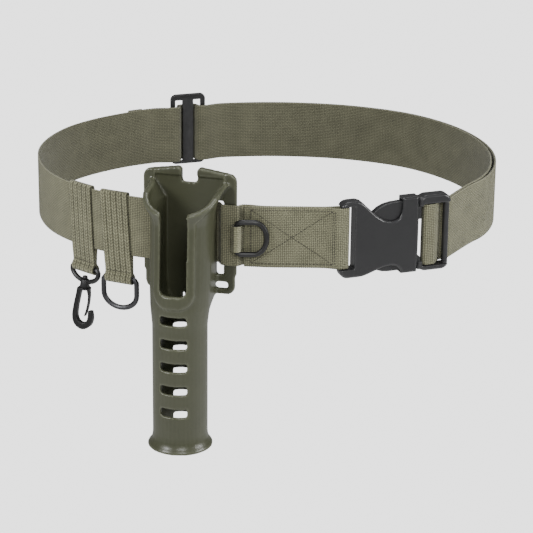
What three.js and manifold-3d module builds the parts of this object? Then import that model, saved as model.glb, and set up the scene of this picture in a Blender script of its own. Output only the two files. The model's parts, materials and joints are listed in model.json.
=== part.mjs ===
// Fishing fighting belt: a webbing waist belt with a moulded rod holder, a side-release
// buckle, a tri-glide, two hanging webbing loops with a swivel hook and a D-ring, and a
// small D-ring beside the holder. Millimetres, +Z up. The origin is the centre of the waist
// opening at half the belt's height. The front of the belt faces -Y.
import * as THREE from 'three';
import { mergeVertices } from 'three/addons/utils/BufferGeometryUtils.js';
import Module from 'manifold-3d';

const wasm = await Module();
wasm.setup();

// Driving dimensions, in millimetres and degrees

const gap = 0.3; // between pieces that touch on the real belt
const overcut = 1; // how far a cutting body runs past the face that it cuts

const waist = { halfWidth: 186, halfDepth: 143 };
const beltWebbing = { width: 50, thickness: 1.8 };
const hangerWebbing = { width: 24, thickness: 1.6 };
const tabWebbing = { width: 21, thickness: 1 };

// The plan of the belt's inner face, every 20 degrees round from +X, as shares of the
// waist's half width and half depth.
const waistRows = [
  { x: 0.997, y: 0.004 },
  { x: 0.906, y: 0.431 },
  { x: 0.693, y: 0.762 },
  { x: 0.419, y: 0.934 },
  { x: 0.137, y: 0.996 },
  { x: -0.132, y: 0.98 },
  { x: -0.395, y: 0.896 },
  { x: -0.67, y: 0.731 },
  { x: -0.902, y: 0.429 },
  { x: -1, y: 0.007 },
  { x: -0.924, y: -0.44 },
  { x: -0.702, y: -0.76 },
  { x: -0.405, y: -0.918 },
  { x: -0.132, y: -0.978 },
  { x: 0.133, y: -1.001 },
  { x: 0.423, y: -0.94 },
  { x: 0.706, y: -0.771 },
  { x: 0.932, y: -0.448 },
];

// Where things sit round the waist: bearings in degrees, anticlockwise from +X seen from above
const bearings = {
  rightOfBuckle: -26,
  triGlide: 117.95,
  tailEnd: 137.3,
  holder: 247,
  dipEnd: 263.5,
  foldBackEnd: 264.2,
  dipStart: 269.5,
  foldBackLeaves: 272,
  buckle: 295.1,
};

// How many degrees of bearing each hanging loop comes before the holder
const loopsBefore = { hook: 31.6, ring: 20.55 };

const bendStep = 15; // degrees between the points of a bend
const waistStep = 3; // degrees of bearing between the points of the belt's plan
const roundSides = 40; // sides of the holder's tube
const turnedSides = 16; // sides of the swivel's turned parts
const stepsPerRow = 3; // points of the hook's outline from one of its rows to the next
const curveSegments = 6; // of a rounded corner in a front view

// How far the outer layer stands off the inner one at the right bend
const rightBend = { middle: -10, reach: 34, standOff: 1.6 };

const tailHem = { covers: 4.2, bend: 1 }; // the fold at the tail: degrees of bearing, and its bend
const slotEnd = 0.8; // between the belt's edges and the ends of the slots it runs through
const barFlat = 0.5; // half the flat between the rounded edges of a bar
const sewnTo = 11.2; // from the female bar to the end of the sewn fold-back
const sewnDrop = 3.1; // how far behind the buckle's middle the layers part there

// How the belt's routes bend where they pass hard pieces: a lead is how far past an edge a
// bend's corner lies, and the other lengths are radii
const foldBackTurns = {
  partBend: 10,
  partLead: 0.7,
  frontLead: 1.4,
  frontBend: 6,
  backLead: 0.6,
  backBend: 8,
};
const holderTurns = { lead: 0.9, edgeBend: 1.7, slotBend: 2.4, runUpBend: 3 };
const triGlideTurns = { lean: 1.5, bend: 2.6, frameLead: 1.2, frameBend: 6, easeBend: 14 };
const maleTurns = {
  innerLead: 2.6,
  bend: 4,
  outerLead: 1.8,
  outerBend: 3,
  leavesInner: 1.5,
  leavesOuter: 2.3,
  leaveBend: 8,
};

// Degrees of bearing from a fitting to where the belt's routes begin to turn towards it
const easeIn = { holder: 22, dip: 3, triGlide: 14, pairEnd: 13, pair: 11, hem: 1 };

const holder = {
  yaw: -13.4,
  setBack: 3,
  plate: {
    width: 74.8,
    top: 52.5,
    bottom: -49.7,
    thickness: 4,
    corner: 6.5,
    roofDrop: 4,
    roofCurve: 0.8,
    footInset: 1.2,
    footStep: 1,
  },
  lintel: { width: 57.6, height: 12.4, proud: 2.4 },
  notch: { width: 12.5, depth: 12.6, corner: 3.2 },
  edgeBar: 10.1,
  beltSlot: { width: 5.9, top: 26.9, bottom: -33.6 },
  lowSlot: { inner: 20.5, outer: 30.6, top: -39.6, bottom: -45 },
  wall: 2.6,
  panel: { proud: 1.8, border: 5.7, below: 10.4, corner: 12 },
  window: { width: 21.1, bottom: -36.2, corner: 5 },
  slot: { width: 20.9, height: 6.8, pitch: 19.15, first: -57.3, frontCount: 5, backCount: 6, root: 0.5 },
};

const tube = { radius: 21.7, centre: 30.7 };

// The holder's outer form from the rim down: height, radius, how far the centre is in front
// of the plate's middle, and the half width where the sides meet the plate. The tube has none.
const holderRows = [
  { z: 46, radius: 28.3, centre: 24.4, foot: 31.6 },
  { z: 41, radius: 28.3, centre: 24.4, foot: 30 },
  { z: 33, radius: 28.1, centre: 24.2, foot: 24.6 },
  { z: 28, radius: 27, centre: 24, foot: 21.3 },
  { z: 23, radius: 25.4, centre: 23.8, foot: 21.3 },
  { z: 18, radius: 24.6, centre: 23.8, foot: 21.3 },
  { z: 0, radius: 24.3, centre: 25.4, foot: 21.3 },
  { z: -36, radius: 23.9, centre: 28.8, foot: 21.3 },
  { z: -50, radius: 23.4, centre: 29.6, foot: 20.6 },
  { z: -57, radius: 22.7, centre: 30.1, foot: 17 },
  { z: -66, radius: tube.radius, centre: tube.centre },
  { z: -156, radius: tube.radius, centre: tube.centre },
  { z: -160.5, radius: 22.2, centre: tube.centre },
  { z: -163.5, radius: 23.5, centre: tube.centre },
  { z: -165.6, radius: 25.3, centre: tube.centre },
  { z: -167, radius: 25.9, centre: tube.centre },
  { z: -168, radius: 25.5, centre: tube.centre },
];

// The rim from the plate out, and the raised panel's lower edge under it, as distances in
// front of the plate's middle and heights
const rimLine = [[0, 41.6], [29, 38.4], [52, 27.2], [70, 18]];
const panelLine = [[0, 40.4], [29, 34], [39.5, 29], [45, 21.5], [70, 12]];

const buckle = {
  yaw: 20.1,
  standOff: 2.95,
  depth: 11,
  left: -8.4,
  earTop: 29.8,
  earBottom: -32.9,
  bar: { left: -7.4, width: 5.4, thickness: 4.4 },
  bodyLeft: 3.5,
  collar: { left: 43, right: 56.4, bow: 1.8, top: 28.8, bottom: -33.8 },
  cut: { middle: 34, top: 10.8, bottom: -26.4 },
  cavity: { left: 10, top: 26.4, bottom: -32, depth: 7.4 },
  bevel: 1.4,
};

// How the female buckle's outline curves: its ears, and the sweeps from them into the cuts
// and on to the collar
const femaleCurve = {
  ear: { width: 7, height: 8 },
  top: { shoulder: 14, sweep: 21, approach: 13, leave: 6, rise: 2, meets: 5 },
  bottom: { shoulder: 16, sweep: 24, approach: 10, leave: 5, drop: 3, pull: 1 },
};

const maleBuckle = {
  left: 57,
  right: 84.2,
  corner: 7,
  sink: 4,
  sinkFull: 12,
  sinkReach: 30,
  neck: { top: 20, bottom: -25.6 },
  windowLeft: 61,
  middleBar: { left: 63.2, width: 5.8, thickness: 4, lift: 1 },
  outerBar: { width: 4.8, thickness: 5.6 },
  prongThickness: 5.6,
};

// The outlines of the two prongs from the frame to the tip: along, and up
const prongRows = [
  [
    [60, 25.4], [41, 25.4], [34.4, 25.1], [28.2, 23.8], [23.4, 21.6],
    [19.4, 18.4], [18, 14.4], [20, 9], [60, 9],
  ],
  [
    [60, -31.4], [41, -31.4], [34.4, -31.6], [28.2, -31.2], [23.4, -29.6],
    [20, -27.2], [19, -25], [21, -22], [60, -22],
  ],
];

const triGlide = {
  width: 31.6,
  height: 64,
  slotTop: 26.7,
  slotBottom: -29.1,
  lift: 3.7,
  thickness: 3.4,
  sideBar: 4.2,
  centreBar: 9.6,
  corner: 5,
  bevel: 0.6,
};

// Wire rings for webbing: the clear width, the wire, the straight arms, the bowl below them
// and the corners beside the bar
const hangingRing = { inside: 25, wire: 4.4, arm: 13.4, bowl: 11.8, corner: 3.4 };
const eyeRing = { inside: 25, wire: 4, arm: 3.2, bowl: 8.6, corner: 3 };
const sideRing = { inside: 21.8, wire: 4.4, arm: 13.8, bowl: 9.8, corner: 3.4 };

const ringSegments = 36;
const ringSides = 8;
const wrapSides = 18; // sides of the tab's wrap round its bar

const hanger = {
  drop: 17.7,
  ringDrop: 19.6,
  rollClearance: 0.6,
  aboveRoll: 1,
  overTop: 0.6,
  beside: 0.4,
  pinchBend: 3,
  shoulderBend: 6,
  sections: 3,
  rollSteps: 14,
};
const sideTab = { beside: 1.6, before: 0.4, bend: 0.9, tail: 2.4 };

const swivel = {
  boss: 8.4,
  bossHeight: 6.2,
  bossDrop: 1.5,
  bossTaper: 1,
  stud: 3,
  clearance: 0.35,
  head: 4.8,
  headGap: 1.2,
  headHeight: 2,
  headChamfer: 0.5,
  collar: 10.8,
  collarHeight: 1.6,
  restSwing: 5,
  restTurn: 20,
};

const hook = { thickness: 5.4, tongueThickness: 4, bevel: 0.5 };

// The hook's centreline from the collar round to the tip: across, down from the collar's
// underside, and the half breadth there.
const hookRows = [
  { across: -3.9, down: -0.8, half: 1.9 },
  { across: -5, down: 6, half: 1.8 },
  { across: -6.5, down: 15, half: 1.9 },
  { across: -7, down: 23, half: 2.1 },
  { across: -5, down: 28.6, half: 2.5 },
  { across: 0, down: 31, half: 2.8 },
  { across: 4.9, down: 28.6, half: 2.5 },
  { across: 6.7, down: 23.4, half: 2.2 },
  { across: 6.2, down: 17.4, half: 1.5 },
];

const tongueRows = [
  { across: 3.4, down: -0.8, half: 1.4 },
  { across: 4.5, down: 5, half: 0.75 },
  { across: 4.2, down: 11, half: 0.62 },
  { across: 3.2, down: 17, half: 0.6 },
  { across: 1.6, down: 22.4, half: 0.55 },
];

// Plan helpers

function radians(degrees) {
  return THREE.MathUtils.degToRad(degrees);
}

const waistCurve = new THREE.CatmullRomCurve3(
  waistRows.map(({ x, y }) => new THREE.Vector3(x * waist.halfWidth, y * waist.halfDepth, 0)),
  true,
  'centripetal',
);

// A plan frame: s runs along the piece, d points out of the waist.
function planFrame(origin, angle) {
  const along = new THREE.Vector2(Math.cos(angle), Math.sin(angle));
  const outward = new THREE.Vector2(Math.sin(angle), -Math.cos(angle));
  const at = (s, d) => origin.clone().addScaledVector(along, s).addScaledVector(outward, d);
  return { origin, angle, at };
}

// The frame on the belt's inner face at a bearing, found by halving an interval.
function waistFrame(bearing) {
  const wanted = radians(bearing);
  const span = 25; // degrees on each side where the point is sought
  const halvings = 30;
  let low = (bearing - span) / 360;
  let high = (bearing + span) / 360;
  for (let step = 0; step < halvings; step += 1) {
    const middle = (low + high) / 2;
    const point = waistCurve.getPoint((middle + 1) % 1);
    const error = Math.atan2(point.y, point.x) - wanted;
    const wrapped = Math.atan2(Math.sin(error), Math.cos(error));
    if (wrapped > 0) high = middle;
    else low = middle;
  }
  const at = ((low + high) / 2 + 1) % 1;
  const point = waistCurve.getPoint(at);
  const tangent = waistCurve.getTangent(at);
  return planFrame(new THREE.Vector2(point.x, point.y), Math.atan2(tangent.y, tangent.x));
}

function corner(point, radius = 0) {
  return { point, radius };
}

// Points that follow the waist at an offset, from one bearing to another.
function alongWaist(from, to, offset) {
  const count = Math.max(2, Math.round(Math.abs(to - from) / waistStep));
  return Array.from({ length: count + 1 }, (unused, i) => {
    const bearing = from + ((to - from) * i) / count;
    const distance = typeof offset === 'function' ? offset(bearing) : offset;
    return corner(waistFrame(bearing).at(0, distance));
  });
}

// Replaces each corner that has a radius by an arc.
function roundCorners(corners, closed = false) {
  const count = corners.length;
  return corners.flatMap(({ point, radius }, i) => {
    const before = corners[closed ? (i + count - 1) % count : i - 1];
    const after = corners[closed ? (i + 1) % count : i + 1];
    if (!radius || !before || !after) return [point];
    const arriving = point.clone().sub(before.point).normalize();
    const leaving = after.point.clone().sub(point).normalize();
    const turn = Math.atan2(arriving.cross(leaving), arriving.dot(leaving));
    const start = point.clone().addScaledVector(arriving, -radius * Math.tan(Math.abs(turn) / 2));
    const inward = new THREE.Vector2(-arriving.y, arriving.x).multiplyScalar(Math.sign(turn) * radius);
    const centre = start.clone().add(inward);
    const steps = Math.max(1, Math.round(Math.abs(turn) / radians(bendStep)));
    const arcPoint = (unused, k) => start.clone().rotateAround(centre, (turn * k) / steps);
    return Array.from({ length: steps + 1 }, arcPoint);
  });
}

// Moves a path sideways, to its left for a positive distance.
function offsetPath(path, distance, closed = false) {
  const count = path.length;
  const around = (i) => (closed ? path[(i + count) % count] : path[Math.min(Math.max(i, 0), count - 1)]);
  return path.map((point, i) => {
    const arriving = point.clone().sub(around(i - 1)).normalize();
    const leaving = around(i + 1).clone().sub(point).normalize();
    const direction = arriving.clone().add(leaving).normalize();
    const half = Math.max(arriving.dot(direction), leaving.dot(direction));
    const sideways = new THREE.Vector2(-direction.y, direction.x);
    return point.clone().addScaledVector(sideways, distance / half);
  });
}

// Solid helpers

// Webbing: a flat path given a thickness and extruded by the webbing's width.
function ribbon(path, webbing) {
  const left = offsetPath(path, webbing.thickness / 2);
  const right = offsetPath(path, -webbing.thickness / 2).reverse();
  const geometry = new THREE.ExtrudeGeometry(new THREE.Shape([...left, ...right]), {
    depth: webbing.width,
    bevelEnabled: false,
  });
  return geometry.translate(0, 0, -webbing.width / 2);
}

// The same for a loop that closes on itself, in several sections across its width.
function closedRibbon(path, webbing, sections) {
  const shape = new THREE.Shape(offsetPath(path, -webbing.thickness / 2, true));
  shape.holes.push(new THREE.Path(offsetPath(path, webbing.thickness / 2, true)));
  const settings = { depth: webbing.width, steps: sections, bevelEnabled: false };
  const geometry = new THREE.ExtrudeGeometry(shape, settings);
  return geometry.translate(0, 0, -webbing.width / 2);
}

// Stands a side view, drawn as (inward, up), so that it is extruded along X.
function standSideways(geometry) {
  const basis = new THREE.Matrix4().makeBasis(
    new THREE.Vector3(0, 1, 0),
    new THREE.Vector3(0, 0, 1),
    new THREE.Vector3(1, 0, 0),
  );
  return geometry.applyMatrix4(basis);
}

// Stands a front view, drawn as (along, up), so that it is extruded from y = back to
// y = back - depth, towards the viewer.
function frontView(shape, depth, back, bevel = 0) {
  const geometry = new THREE.ExtrudeGeometry(shape, {
    depth: depth - 2 * bevel,
    bevelEnabled: bevel > 0,
    bevelThickness: bevel,
    bevelSize: bevel,
    bevelOffset: -bevel,
    bevelSegments: 1,
    curveSegments,
  });
  const basis = new THREE.Matrix4().makeBasis(
    new THREE.Vector3(1, 0, 0),
    new THREE.Vector3(0, 0, 1),
    new THREE.Vector3(0, -1, 0),
  );
  return geometry.translate(0, 0, bevel).applyMatrix4(basis).translate(0, back, 0);
}

function box(x, y, z) {
  const geometry = new THREE.BoxGeometry(x[1] - x[0], y[1] - y[0], z[1] - z[0]);
  return geometry.translate((x[0] + x[1]) / 2, (y[0] + y[1]) / 2, (z[0] + z[1]) / 2);
}

function roundedRectangle(left, right, bottom, top, radius) {
  const shape = new THREE.Shape();
  shape.moveTo(left + radius, bottom);
  shape.lineTo(right - radius, bottom);
  shape.absarc(right - radius, bottom + radius, radius, -Math.PI / 2, 0, false);
  shape.lineTo(right, top - radius);
  shape.absarc(right - radius, top - radius, radius, 0, Math.PI / 2, false);
  shape.lineTo(left + radius, top);
  shape.absarc(left + radius, top - radius, radius, Math.PI / 2, Math.PI, false);
  shape.lineTo(left, bottom + radius);
  shape.absarc(left + radius, bottom + radius, radius, Math.PI, Math.PI * 1.5, false);
  return shape;
}

// A point of a row's section from a point of the unit circle. In front of the centre the
// section is round; behind it, a row with a foot runs straight back to the plate.
function sectionPoint(row, across, out) {
  if (row.foot === undefined || out <= 0) return [across * row.radius, out * row.radius - row.centre];
  const cornerAt = 0.6; // share of the quarter turn that runs along the side
  const share = Math.atan2(out, Math.abs(across)) / (Math.PI / 2);
  const side = Math.min(share / cornerAt, 1);
  const along = Math.max((share - cornerAt) / (1 - cornerAt), 0);
  const half = THREE.MathUtils.lerp(row.radius, row.foot, side) * (1 - along);
  return [Math.sign(across) * half, THREE.MathUtils.lerp(-row.centre, row.back, side)];
}

// A closed body with a row for each section, from the top down.
function sectionStack(rows, sides) {
  const geometry = new THREE.CylinderGeometry(1, 1, 1, sides, rows.length - 1).rotateX(Math.PI / 2);
  const position = geometry.attributes.position;
  for (let i = 0; i < position.count; i += 1) {
    const row = rows[Math.round((0.5 - position.getZ(i)) * (rows.length - 1))];
    const [x, y] = sectionPoint(row, position.getX(i), position.getY(i));
    position.setXYZ(i, x, y, row.z);
  }
  return geometry;
}

// A solid of revolution about Z from a closed profile of radius and height.
function turned(profile, sides) {
  const points = profile.map(([radius, z]) => new THREE.Vector2(radius, z));
  return new THREE.LatheGeometry(points, sides).rotateX(Math.PI / 2);
}

// Wire of a many-sided section swept once round a closed outline in the XZ plane.
function wireRing(outline, wire, segments, sides) {
  const reach = 100;
  const geometry = new THREE.TorusGeometry(reach, wire / 2, sides, segments);
  const position = geometry.attributes.position;
  for (let i = 0; i < position.count; i += 1) {
    const turn = Math.atan2(position.getY(i), position.getX(i)) / (2 * Math.PI);
    const u = (turn + 1) % 1;
    const outwards = Math.hypot(position.getX(i), position.getY(i)) - reach;
    const point = outline.getPoint(u);
    const tangent = outline.getTangent(u);
    const aside = position.getZ(i);
    position.setXYZ(i, point.x + tangent.y * outwards, -aside, point.y - tangent.x * outwards);
  }
  return geometry;
}

// A D outline: the straight bar lies on the X axis and the bowl hangs below it.
function dOutline({ inside, wire, arm, bowl, corner: round }) {
  const half = (inside + wire) / 2;
  const outline = new THREE.Path();
  outline.moveTo(0, -arm - bowl);
  outline.absellipse(0, -arm, half, bowl, -Math.PI / 2, 0, false);
  outline.lineTo(half, -round);
  outline.absarc(half - round, -round, round, 0, Math.PI / 2, false);
  outline.lineTo(round - half, 0);
  outline.absarc(round - half, -round, round, Math.PI / 2, Math.PI, false);
  outline.lineTo(-half, -arm);
  outline.absellipse(0, -arm, half, bowl, Math.PI, Math.PI * 1.5, false);
  return outline;
}

// A flat bar of changing breadth along a smooth centreline, in front view.
function taperedBar(rows, depth, bevel) {
  const centres = rows.map(({ across, down }) => new THREE.Vector2(across, -down));
  const line = new THREE.SplineCurve(centres);
  const count = (rows.length - 1) * stepsPerRow;
  const half = (t) => {
    const place = t * (rows.length - 1);
    const i = Math.min(Math.floor(place), rows.length - 2);
    return THREE.MathUtils.lerp(rows[i].half, rows[i + 1].half, place - i);
  };
  const edge = (side) => Array.from({ length: count + 1 }, (unused, k) => {
    const tangent = line.getTangent(k / count);
    const aside = new THREE.Vector2(-tangent.y, tangent.x).multiplyScalar(side * half(k / count));
    return line.getPoint(k / count).add(aside);
  });
  const shape = new THREE.Shape([...edge(1), ...edge(-1).reverse()]);
  return frontView(shape, depth, depth / 2, bevel);
}

// Closed geometry to a solid that can be cut and joined, and back.
function toSolid(geometry) {
  const bare = geometry.clone();
  bare.deleteAttribute('normal');
  bare.deleteAttribute('uv');
  const merged = mergeVertices(bare, 1e-4);
  const vertProperties = Float32Array.from(merged.attributes.position.array);
  const triVerts = Uint32Array.from(merged.index.array);
  return new wasm.Manifold(new wasm.Mesh({ numProp: 3, vertProperties, triVerts }));
}

function toGeometry(solid) {
  const mesh = solid.getMesh();
  const geometry = new THREE.BufferGeometry();
  geometry.setAttribute('position', new THREE.BufferAttribute(mesh.vertProperties, 3));
  geometry.setIndex(new THREE.BufferAttribute(mesh.triVerts, 1));
  geometry.computeVertexNormals();
  return geometry;
}

function join(geometries) {
  return geometries.map(toSolid).reduce((whole, part) => whole.add(part));
}

// Where the fittings sit

const layerPitch = beltWebbing.thickness + gap; // between the middles of two layers
const hugging = beltWebbing.thickness / 2 + gap; // from a hard face to the middle of a layer
const innerOffset = beltWebbing.thickness / 2;
const outerOffset = innerOffset + layerPitch;
const pairOffset = innerOffset + layerPitch / 2;
const tabDip = tabWebbing.thickness + gap; // room for the side ring's tab

function fittingFrame(bearing, standOff, yaw) {
  const waistAt = waistFrame(bearing);
  const angle = yaw === undefined ? waistAt.angle : radians(yaw);
  return planFrame(planFrame(waistAt.origin, angle).at(0, standOff), angle);
}

const holderFrame = fittingFrame(bearings.holder, -holder.setBack, holder.yaw);
const buckleFrame = fittingFrame(bearings.buckle, pairOffset + buckle.standOff, buckle.yaw);
const triGlideFrame = fittingFrame(bearings.triGlide, pairOffset);
const hookLoopFrame = waistFrame(bearings.holder - loopsBefore.hook);
const ringLoopFrame = waistFrame(bearings.holder - loopsBefore.ring);

// The belt strap

// The edges of a bar that the belt turns round, and the bend of the belt round them
function barCorner(bar) {
  return bar.thickness / 2 - barFlat;
}

function beltBend(bar) {
  return barCorner(bar) + hugging;
}

// From the free end of the fold-back, round the female buckle's bar and back.
function foldBackRoute() {
  const bar = buckle.bar;
  const turns = foldBackTurns;
  const away = bar.thickness / 2 + hugging;
  const wrap = bar.left + bar.width + hugging;
  const bend = beltBend(bar);
  return [
    ...alongWaist(bearings.foldBackEnd, bearings.foldBackLeaves, outerOffset),
    corner(buckleFrame.at(bar.left - sewnTo, -sewnDrop), turns.partBend),
    corner(buckleFrame.at(bar.left - turns.frontLead, away), turns.frontBend),
    corner(buckleFrame.at(wrap, away), bend),
    corner(buckleFrame.at(wrap, -away), bend),
    corner(buckleFrame.at(bar.left + turns.backLead, -away), turns.backBend),
    corner(buckleFrame.at(bar.left - sewnTo + turns.partLead, -sewnDrop - layerPitch), turns.partBend),
    ...alongWaist(bearings.foldBackLeaves, bearings.dipStart, innerOffset),
  ];
}

// Under the side ring's tab, over the holder's edge bar, behind its cup, and out again.
function holderRoute() {
  const { lead, edgeBend, slotBend, runUpBend } = holderTurns;
  const away = holder.plate.thickness / 2 + hugging;
  const edge = holder.plate.width / 2;
  const slotOuter = edge - holder.edgeBar;
  const slotInner = slotOuter - holder.beltSlot.width;
  const underTab = innerOffset - tabDip;
  const side = (sign) => [
    corner(holderFrame.at(sign * (edge + lead), away), edgeBend),
    corner(holderFrame.at(sign * (slotOuter - lead), away), slotBend),
    corner(holderFrame.at(sign * (slotInner + lead), -away), slotBend),
  ];
  return [
    corner(waistFrame(bearings.dipEnd + easeIn.dip).at(0, underTab), runUpBend),
    corner(waistFrame(bearings.dipEnd).at(0, underTab), edgeBend),
    ...side(1),
    ...side(-1).reverse(),
  ];
}

// The doubled stretch over the tri-glide, by rising bearings: the route of the pair's middle.
function pairOverTriGlide() {
  const { lean, bend, frameLead, frameBend, easeBend } = triGlideTurns;
  const crossing = triGlide.thickness / 2 + hugging + layerPitch / 2;
  const half = triGlide.width / 2;
  const slotMiddle = (triGlide.centreBar / 2 + half - triGlide.sideBar) / 2;
  const onWaist = (degrees) => waistFrame(bearings.triGlide + degrees).at(0, pairOffset);
  const side = (sign) => [
    corner(onWaist(sign * easeIn.pair), easeBend),
    corner(triGlideFrame.at(sign * (half + frameLead), -crossing), frameBend),
    corner(triGlideFrame.at(sign * (slotMiddle + lean), -crossing), bend),
    corner(triGlideFrame.at(sign * (slotMiddle - lean), crossing), bend),
  ];
  return roundCorners([
    corner(onWaist(-easeIn.pairEnd)),
    ...side(-1),
    ...side(1).reverse(),
    corner(onWaist(easeIn.pairEnd)),
  ]);
}

// How far the outer layer stands off the inner one: most in the middle of the right bend.
function bulge(bearing) {
  const turn = THREE.MathUtils.clamp((bearing - rightBend.middle) / rightBend.reach, -1, 1);
  return (rightBend.standOff * (1 + Math.cos(turn * Math.PI))) / 2;
}

// The inner layer by falling bearings: left bend, tri-glide, back and right bend.
function innerRoute() {
  const pair = offsetPath(pairOverTriGlide(), layerPitch / 2).reverse();
  return [
    ...alongWaist(bearings.holder - easeIn.holder, bearings.triGlide + easeIn.triGlide, innerOffset),
    ...pair.map((point) => corner(point)),
    ...alongWaist(bearings.triGlide - easeIn.triGlide, bearings.rightOfBuckle, innerOffset),
  ];
}

// Through the male buckle: up left of the middle bar, over it, and out behind the outer bar.
function maleRoute() {
  const { middleBar: bar, outerBar, right } = maleBuckle;
  const turns = maleTurns;
  const front = bar.lift + bar.thickness / 2 + hugging;
  const back = bar.lift - bar.thickness / 2 - hugging;
  const left = bar.left - hugging;
  const bend = beltBend(bar);
  const outerBack = -outerBar.thickness / 2 - hugging;
  const innerBack = outerBack - layerPitch;
  const outerLeft = right - outerBar.width;
  return [
    corner(buckleFrame.at(right + turns.leavesInner, innerBack), turns.leaveBend),
    corner(buckleFrame.at(outerLeft - turns.innerLead, innerBack), turns.bend),
    corner(buckleFrame.at(bar.left + bar.width / 2, back), turns.bend),
    corner(buckleFrame.at(left, back), bend - barFlat),
    corner(buckleFrame.at(left, front), bend),
    corner(buckleFrame.at(bar.left + bar.width + hugging + gap, front), bend),
    corner(buckleFrame.at(outerLeft - turns.outerLead, outerBack), turns.outerBend),
    corner(buckleFrame.at(right + turns.leavesOuter, outerBack), turns.leaveBend),
  ];
}

// The outer layer by rising bearings: right bend, back, tri-glide and the folded hem.
function outerRoute() {
  const pair = offsetPath(pairOverTriGlide(), -layerPitch / 2);
  const end = waistFrame(bearings.tailEnd);
  const hemStart = bearings.tailEnd - easeIn.hem;
  const bulging = (bearing) => outerOffset + bulge(bearing);
  return [
    ...alongWaist(bearings.rightOfBuckle, bearings.triGlide - easeIn.triGlide, bulging),
    ...pair.map((point) => corner(point)),
    ...alongWaist(bearings.triGlide + easeIn.triGlide, hemStart, outerOffset),
    corner(end.at(0, outerOffset), tailHem.bend),
    corner(end.at(0, outerOffset + layerPitch), tailHem.bend),
    ...alongWaist(hemStart, bearings.tailEnd - tailHem.covers, outerOffset + layerPitch),
  ];
}

function beltStrap() {
  const route = [
    ...foldBackRoute(),
    ...holderRoute(),
    ...innerRoute(),
    ...maleRoute(),
    ...outerRoute(),
  ];
  return sinkInBuckle(ribbon(roundCorners(route), beltWebbing));
}

// The belt lies low in the male buckle, and rises again on both sides of it.
function sinkInBuckle(geometry) {
  const { left, right, sink, sinkFull, sinkReach } = maleBuckle;
  const middle = buckleFrame.at((left + right) / 2, 0);
  const position = geometry.attributes.position;
  for (let i = 0; i < position.count; i += 1) {
    const away = Math.hypot(position.getX(i) - middle.x, position.getY(i) - middle.y);
    const share = 1 - THREE.MathUtils.smoothstep(away, sinkFull, sinkReach);
    position.setZ(i, position.getZ(i) - sink * share);
  }
  return geometry;
}

// The rod holder

// A copy of the holder's rows with the wall taken off or a pad put on
function holderRowsAt(change) {
  return holderRows.map((row) => ({
    ...row,
    radius: row.radius + change,
    foot: row.foot && row.foot + change,
    back: change,
  }));
}

function plateShape() {
  const { width, top, bottom, corner: round, roofDrop, roofCurve, footInset, footStep } = holder.plate;
  const { width: notchWidth, depth, corner: notchCorner } = holder.notch;
  const half = width / 2;
  const foot = half - footInset;
  const footTop = holder.beltSlot.bottom - footStep;
  const notch = notchWidth / 2;
  const floor = top - depth;
  const shape = new THREE.Shape();
  shape.moveTo(-foot + round, bottom);
  shape.lineTo(foot - round, bottom);
  shape.absarc(foot - round, bottom + round, round, -Math.PI / 2, 0, false);
  shape.lineTo(foot, footTop);
  shape.lineTo(half, footTop + footInset);
  shape.lineTo(half, top - roofDrop - round);
  shape.quadraticCurveTo(half, top - roofDrop, half - round, top - roofDrop + roofCurve);
  shape.lineTo(notch + notchCorner, top);
  shape.quadraticCurveTo(notch, top, notch, top - notchCorner);
  shape.lineTo(notch, floor + notchCorner);
  shape.quadraticCurveTo(notch, floor, notch - notchCorner, floor);
  shape.lineTo(notchCorner - notch, floor);
  shape.quadraticCurveTo(-notch, floor, -notch, floor + notchCorner);
  shape.lineTo(-notch, top - notchCorner);
  shape.quadraticCurveTo(-notch, top, -notch - notchCorner, top);
  shape.lineTo(round - half, top - roofDrop + roofCurve);
  shape.quadraticCurveTo(-half, top - roofDrop, -half, top - roofDrop - round);
  shape.lineTo(-half, footTop + footInset);
  shape.lineTo(-foot, footTop);
  shape.lineTo(-foot, bottom + round);
  shape.absarc(-foot + round, bottom + round, round, Math.PI, Math.PI * 1.5, false);
  return shape;
}

// The plate with its belt slots; the band along its top is thicker than the rest.
function holderPlate() {
  const { thickness, width } = holder.plate;
  const back = thickness / 2;
  const slotOuter = width / 2 - holder.edgeBar;
  const slotInner = slotOuter - holder.beltSlot.width;
  const band = holder.lintel;
  const through = [-2 * thickness, thickness];
  const solid = toSolid(frontView(plateShape(), thickness, back));
  const outline = toSolid(frontView(plateShape(), thickness + band.proud, back));
  const bandBox = toSolid(box(
    [-band.width / 2, band.width / 2],
    [-back - band.proud, back],
    [holder.plate.top - band.height, holder.plate.top + overcut],
  ));
  const slots = [-1, 1].flatMap((side) => {
    const { beltSlot, lowSlot } = holder;
    const across = (inner, outer) => [side * inner, side * outer].sort((a, b) => a - b);
    return [
      box(across(slotInner, slotOuter), through, [beltSlot.bottom, beltSlot.top]),
      box(across(lowSlot.inner, lowSlot.outer), through, [lowSlot.bottom, lowSlot.top]),
    ];
  });
  return solid.add(outline.intersect(bandBox)).subtract(join(slots));
}

// A side view between two lines of distances and heights, extruded across the holder
function acrossHolder(line, floor) {
  const reach = line.at(-1)[0];
  const shape = new THREE.Shape([
    ...line.map(([out, z]) => new THREE.Vector2(-out, z)),
    new THREE.Vector2(-reach, floor),
    new THREE.Vector2(0, floor),
  ]);
  const geometry = new THREE.ExtrudeGeometry(shape, { depth: 2 * reach, bevelEnabled: false });
  return toSolid(standSideways(geometry.translate(0, 0, -reach)));
}

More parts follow.
